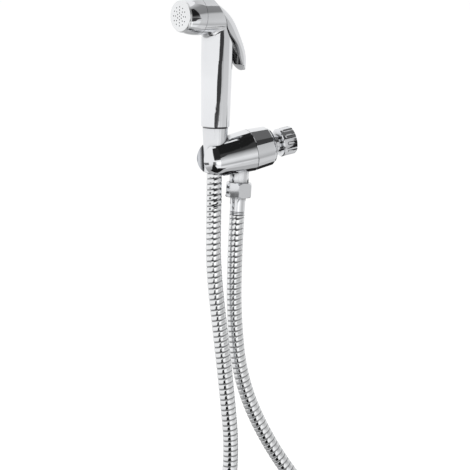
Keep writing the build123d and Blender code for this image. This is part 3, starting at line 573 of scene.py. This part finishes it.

# %% [markdown]
# The floor, the screens and the cards are all sheets through rows of points. None of them is a
# piece of the object.

# %% Sheet of studio equipment
def stage_sheet(name, rows, material, greys=None):
    """A sheet through rows of points, used as a floor or a card. greys paints it point by point."""
    width = len(rows[0])
    points = [tuple(point) for row in rows for point in row]
    faces = [(r * width + c, r * width + c + 1, (r + 1) * width + c + 1, (r + 1) * width + c)
             for r in range(len(rows) - 1) for c in range(width - 1)]
    data = bpy.data.meshes.new(name)
    data.from_pydata(points, [], faces)
    data.materials.append(material)
    if greys:
        shades = data.attributes.new("grey", "FLOAT", "POINT")
        shades.data.foreach_set("value", [value for row in greys for value in row])
    sheet = bpy.data.objects.new(name, data)
    bpy.context.scene.collection.objects.link(sheet)
    return sheet


print("helper for studio sheets ready")

# %% [markdown]
# The floor lies below the hose's loop. The camera sees it as white, apart from the object's
# shadow, while the chrome sees it grey near the object and white far off, as a floor looks in its
# own shade.

# %% Floor that the chrome sees as grey nearby and white far off
floor_height = -0.72
floor_reach = 40.0
ramp_reach = 3.0
floor_lift = 0.45
floor_greys = [(0.15, 0.55), (0.51, 0.43), (0.72, 0.42), (1.08, 0.52), (1.50, 0.86), (2.85, 1.0)]
floor_paint, paint, matt, where = start_material("floor_paint")
fill(paint, matt, Base_Color=(0.92, 0.92, 0.92, 1), Roughness=0.9, Specular_IOR_Level=0.1)
ray = add_node(paint, "ShaderNodeLightPath").outputs
spot = add_node(paint, "ShaderNodeSeparateXYZ", _0=where).outputs
squares = [calculate(paint, "POWER", spot[axis], 2.0) for axis in (0, 1)]
far_out = calculate(paint, "SQRT", calculate(paint, "ADD", *squares))
shade = ramp(paint, calculate(paint, "DIVIDE", far_out, ramp_reach),
             [(metres / ramp_reach, (grey, grey, grey)) for metres, grey in floor_greys])
mirrored = add_node(paint, "ShaderNodeEmission", Color=shade, Strength=1.0)
lift = add_node(paint, "ShaderNodeEmission", Color=white,
                Strength=calculate(paint, "MULTIPLY", ray["Is Camera Ray"], floor_lift))
lit = add_node(paint, "ShaderNodeAddShader", _0=matt.outputs[0], _1=lift.outputs[0])
either = add_node(paint, "ShaderNodeMixShader", _0=ray["Is Glossy Ray"], _1=lit.outputs[0],
                  _2=mirrored.outputs[0])
fill(paint, paint.nodes["Material Output"], Surface=either.outputs[0])
stage_sheet("studio_floor", [[(x, y, floor_height) for x in (-floor_reach, floor_reach)]
                             for y in (-floor_reach, floor_reach)], floor_paint)
print("floor laid")

# %% [markdown]
# ## Screens and cards
#
# Each shape on the chrome is the mirror image of something in the room, so the room is furnished
# with paper. Paper glows on its front only, so the head above doesn't see the cards that hang
# below it. All of it is seen by mirror rays alone, so it throws no shadow and doesn't stand in the
# camera's way.

# %% Paper for mirrors
def paper(name, brightness=None):
    """Paper that glows on its front only, by one brightness or by the sheet's own greys."""
    material = bpy.data.materials.new(name)
    material.use_nodes = True
    tree = material.node_tree
    tree.nodes.clear()
    if brightness is None:
        greys = add_node(tree, "ShaderNodeAttribute", {"attribute_name": "grey"})
        brightness = greys.outputs["Fac"]
    glow = add_node(tree, "ShaderNodeEmission", Color=white, Strength=brightness)
    clear = add_node(tree, "ShaderNodeBsdfTransparent")
    behind = add_node(tree, "ShaderNodeNewGeometry").outputs["Backfacing"]
    one_side = add_node(tree, "ShaderNodeMixShader", _0=behind, _1=glow.outputs[0],
                        _2=clear.outputs[0])
    add_node(tree, "ShaderNodeOutputMaterial", Surface=one_side.outputs[0])
    return material


def hang(name, rows, brightness=None, greys=None):
    """Hang a card through rows of points, which mirrors see and nothing else does."""
    card = stage_sheet(name, rows, paper(name + "_paper", brightness), greys)
    card.visible_camera = False
    card.visible_diffuse = False
    card.visible_transmission = False
    card.visible_shadow = False


def cards_hung():
    """How many sheets of paper hang in the room so far."""
    return len([material for material in bpy.data.materials if material.name.endswith("_paper")])


print("cards:", cards_hung())

# %% [markdown]
# Upright screens stand round the cradle, 0.35 m away. A place on them is named by the direction in
# which the cradle sees it: an angle in degrees round the upright axis, nought along +X and growing
# towards the wall, and a height. A screen takes its greys from its level edges and fades between
# them.
#
# The graded screen is black high up, white a little below the cradle's level, grey under that and
# pale at its foot. Its fade makes the black upper half and the pale band of the barrel, and its
# foot keeps the hose bright. The greyer side screen does the same for the ring and the head. The
# screens named after the dome make the dark front of the cradle with its glint.

# %% Upright screens
bend_steps = 12


def arc(angles, reach, centre, height):
    """Points on a level arc between two angles."""
    turns = [math.radians(angles[0] + (angles[1] - angles[0]) * step / bend_steps)
             for step in range(bend_steps + 1)]
    return [Vector((centre[0] + reach * math.cos(a), centre[1] + reach * math.sin(a), height))
            for a in turns]


def strip(name, edges, reach):
    """A bent screen with its own angles at every edge: (angle, angle, height, grey), top first."""
    rows = [arc((start, end), reach, cradle_centre, height) for start, end, height, _ in edges]
    hang(name, rows, greys=[[grey] * (bend_steps + 1) for _, _, _, grey in edges])


def screen(name, angles, *edges):
    """A bent screen between two angles. Its edges are (height, grey), top first."""
    strip(name, [(*angles, height, grey) for height, grey in edges], reach=0.35)


screen("graded_screen", (5, 29), (0.75, 0.7), (0.50, 0.4), (0.44, 0.015), (0.16, 0.015),
       (0.10, 0.15), (0.04, 0.45), (-0.09, 0.95), (-0.17, 0.85), (-0.26, 0.45), (-0.34, 0.9),
       (-0.70, 0.95))
screen("side_screen", (29, 75), (0.75, 0.7), (0.45, 0.3), (0.19, 0.25), (0.14, 0.6), (-0.10, 0.7),
       (-0.25, 0.5), (-0.34, 0.75), (-0.70, 0.75))
screen("rear_screen", (75, 125), (0.75, 0.6), (0.0, 0.9), (-0.70, 0.6))
screen("dome_foot", (-33, 5), (0.028, 0.05), (0.0, 0.09), (-0.012, 0.25))
screen("dome_glint", (-20, 5), (-0.05, 0.9), (-0.09, 1.4), (-0.19, 1.4), (-0.22, 0.8))
screen("dome_left", (-45, -28), (-0.06, 0.20), (-0.26, 0.20))
screen("hose_front", (-33, 5), (-0.22, 1.05), (-0.70, 1.05))
print("cards, with the upright screens:", cards_hung())

# %% [markdown]
# Narrow strips stand nearer or lean, and draw dark lines. The first is a wedge that widens
# downwards and makes the dark line along the hose. The second darkens one flat of the hex nut. The
# third makes the line down the grip, so it leans and is drawn out as the grip is.

# %% Strips for dark lines
strip("hose_line", [(-48, -38, -0.14, 0.04), (-64, -28, -0.34, 0.012), (-84, -14, -0.70, 0.012)],
      reach=0.34)
strip("beside_hex", [(-96, -68, -0.018, 0.15), (-96, -68, -0.045, 0.15)], reach=0.12)
strip("grip_strip", [
    (4, 16, 0.103, 0.05), (-2, 27, 0.090, 0.05), (-4, 31, 0.082, 0.05), (-10, 24, 0.071, 0.05),
    (-17, 17, 0.056, 0.05), (-18, 16, 0.039, 0.05), (-20, 12, 0.024, 0.06), (-32, -1, 0.018, 0.08),
], reach=0.2)
print("cards, with the strips:", cards_hung())

# %% [markdown]
# Level cards hang over the valve and lie under it, and all are dark. Those above hold down the
# light on the top of the barrel and of the ring, and those below draw the black line along its
# underside. One upright card stands beside the union nut and draws its flutes.

# %% Level cards
above = 0.115
below = -0.045


def level_card(name, x_range, y_range, height, brightness, faces_up=False):
    """A level rectangle painted on its upper or its lower side."""
    x_order = x_range if faces_up else x_range[::-1]
    hang(name, [[(x, y, height) for x in x_order] for y in y_range], brightness)


def level_fan(name, angles, reaches, centre, height, brightness, faces_up=False):
    """A level ring sector painted on its upper or its lower side."""
    order = sorted(reaches, reverse=faces_up)
    hang(name, [arc(angles, reach, centre, height) for reach in order], brightness)


level_fan("over_dome", (-34, 5), (0.015, 0.36), cradle_centre, 0.024, 0.025)
level_card("over_barrel", (0.019, 0.32), (-0.075, -0.004), above, 0.015)
level_card("over_barrel_rear", (-0.035, 0.019), (-0.028, -0.004), above, 0.02)
level_card("over_ring", (-0.05, 0.09), (-0.004, 0.09), above, 0.15)
level_card("beside_ring", (0.09, 0.25), (-0.004, 0.12), above, 0.05)
level_fan("under_dome", (-90, 45), (0.0005, 0.034), (0.010, -0.087), below, 0.012, faces_up=True)
level_card("under_barrel", (-0.045, 0.004), (-0.075, 0.0), below, 0.02, faces_up=True)
hang("beside_nut", [[(0.036, y, z) for y in (0.008, 0.055)] for z in (0.010, below)], 0.015)
print("cards in all:", cards_hung())

# %% [markdown]
# Two soft lamps light the floor and the few dull pieces. Mirror rays don't see them, because the
# cards and the white room already decide what the chrome shows.

# %% Lamps
valve_middle = Vector((0, -0.06, 0))


def soft_lamp(name, place, width, height, watts):
    """A rectangular area lamp that faces the valve."""
    data = bpy.data.lights.new(name, "AREA")
    data.shape = "RECTANGLE"
    data.size, data.size_y, data.energy = width, height, watts
    lamp = bpy.data.objects.new(name, data)
    bpy.context.scene.collection.objects.link(lamp)
    lamp.location = place
    lamp.rotation_euler = (valve_middle - Vector(place)).to_track_quat("-Z", "Y").to_euler()
    lamp.visible_glossy = False


soft_lamp("tall_lamp", (0.9, -1.6, 0.7), width=0.8, height=1.6, watts=18)
soft_lamp("top_lamp", (0.3, -0.3, 1.6), width=1.0, height=1.0, watts=10)
print("lamps: 2")
